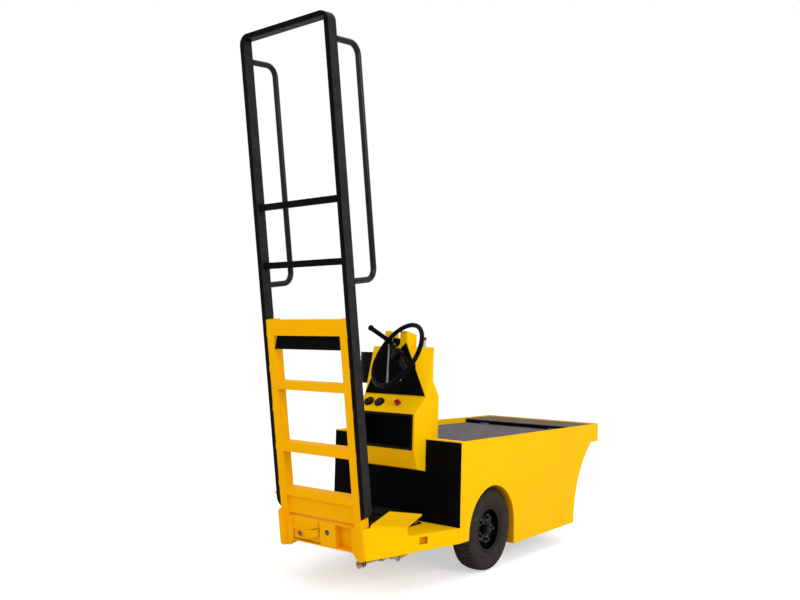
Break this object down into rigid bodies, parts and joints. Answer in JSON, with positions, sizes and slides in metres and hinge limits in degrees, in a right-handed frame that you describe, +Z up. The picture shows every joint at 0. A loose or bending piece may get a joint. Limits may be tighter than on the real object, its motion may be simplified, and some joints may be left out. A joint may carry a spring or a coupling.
{
  "type": "electric order-picking tow tractor with ladder",
  "caption": "Narrow electric tow tractor with a stand-on platform, a leaning picking ladder, a console tower and a low cargo deck with a concave nose.",
  "frame": {"origin": "on the floor, under the middle of the overall box", "axes": "+X forward from the ladder to the nose, +Y to the driver's left, +Z up"},
  "size_m": [2.454, 0.787, 2.4723],
  "materials": {
    "body_paint": "gloss yellow paint, scratched at the edges",
    "black_steel": "satin black paint, worn",
    "deck_paint": "grey anti-slip paint, scuffed",
    "cast_iron": "rough black casting",
    "wheel_paint": "black wheel paint, dusty",
    "tyre_rubber": "dusty black rubber",
    "mat_rubber": "ribbed black rubber",
    "black_plastic": "matt black plastic",
    "red_plastic": "red plastic"
  },
  "bodies": {
    "chassis": {"battery": "black_plastic", "battery_tray": "black_steel", "bulkhead": "black_steel", "console_cover": "black_steel", "console_tower": "body_paint", "cup_holder": "black_plastic", "dash_instruments": "black_plastic", "drive_axle": "cast_iron", "floor_mat": "mat_rubber", "foot_pedal": "black_steel", "front_portal": "black_steel", "front_shelf": "deck_paint", "glove_box": "black_steel", "handrail_left": "black_steel", "handrail_right": "black_steel", "hitch_block": "body_paint", "hitch_frame": "body_paint", "hitch_latch": "body_paint", "ladder_hoop": "black_steel", "ladder_kick_panel": "black_steel", "lower_ladder": "body_paint", "nose_panel": "body_paint", "platform_floor": "body_paint", "rail_left": "black_steel", "rail_right": "black_steel", "rear_coaming": "body_paint", "selector": "black_plastic", "shelf_riser": "black_steel", "side_panel_left": "body_paint", "side_panel_right": "body_paint", "skirt_left": "body_paint", "skirt_right": "body_paint", "steering_column": "black_steel", "stop_button": "red_plastic", "wheel_well_left": "body_paint", "wheel_well_right": "body_paint"},
    "rear_wheel_left": {"rim_rear_left": "wheel_paint", "tyre_rear_left": "tyre_rubber"},
    "rear_wheel_right": {"rim_rear_right": "wheel_paint", "tyre_rear_right": "tyre_rubber"},
    "steer_fork": {"steer_fork": "black_steel"},
    "front_wheel": {"rim_front": "wheel_paint", "tyre_front": "tyre_rubber"},
    "steering_wheel": {"steering_wheel": "black_plastic"},
    "deck_lid": {"deck_lid": "deck_paint"}
  },
  "joints": [
    {"name": "rear_left_spin", "type": "hinge", "parent": "chassis", "child": "rear_wheel_left", "pos_m": [-0.04799, 0.328, 0.203], "axis": [0, 1, 0], "continuous": true},
    {"name": "rear_right_spin", "type": "hinge", "parent": "chassis", "child": "rear_wheel_right", "pos_m": [-0.04799, -0.328, 0.203], "axis": [0, 1, 0], "continuous": true},
    {"name": "front_steer", "type": "hinge", "parent": "chassis", "child": "steer_fork", "pos_m": [0.63701, 0, 0.203], "axis": [0, 0, 1], "range_deg": [-60, 60]},
    {"name": "front_spin", "type": "hinge", "parent": "steer_fork", "child": "front_wheel", "pos_m": [0.63701, 0, 0.203], "axis": [0, 1, 0], "continuous": true},
    {"name": "steering_wheel_turn", "type": "hinge", "parent": "chassis", "child": "steering_wheel", "pos_m": [-0.48699, -0.103, 1.061], "axis": [-0.8179, 0.2977, 0.4924], "range_deg": [-450, 450]},
    {"name": "lid_hinge", "type": "hinge", "parent": "chassis", "child": "deck_lid", "pos_m": [0.91151, 0, 0.6295], "axis": [0, 1, 0], "range_deg": [0, 70]}
  ],
  "couplings": [
    {"joint": "steering_wheel_turn", "follows": "front_steer", "ratio": 7.5}
  ]
}
